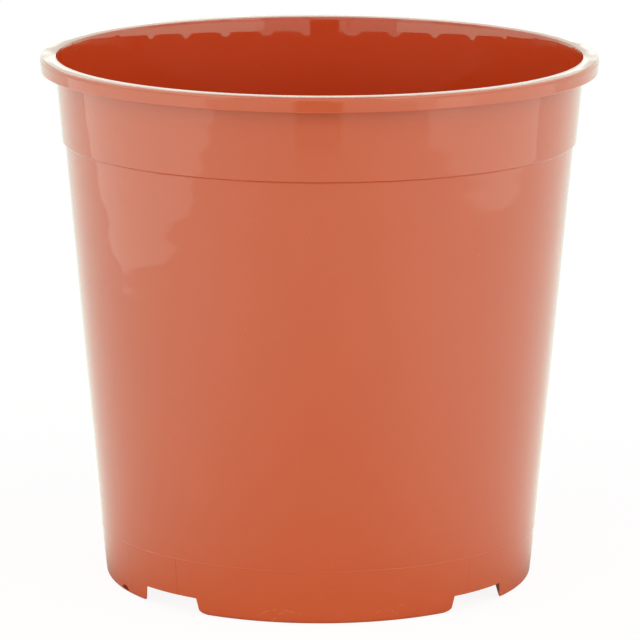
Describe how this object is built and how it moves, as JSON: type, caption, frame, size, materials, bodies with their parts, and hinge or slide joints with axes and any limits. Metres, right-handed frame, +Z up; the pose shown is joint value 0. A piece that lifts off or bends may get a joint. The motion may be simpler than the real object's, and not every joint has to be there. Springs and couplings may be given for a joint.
{
  "type": "plant pot",
  "caption": "Large round tapered plastic plant pot with a turned-down rim, a collar and a notched, raised base that drains.",
  "frame": {"origin": "centre of the pot's foot, on the floor that it stands on", "axes": "+Z up along the pot's axis, -Y towards the side that the picture shows, +X to the right in it"},
  "size_m": [0.3, 0.3, 0.2856],
  "materials": {
    "terracotta_plastic": "smooth moulded gloss"
  },
  "bodies": {
    "root": {"pot": "terracotta_plastic"}
  },
  "joints": []
}
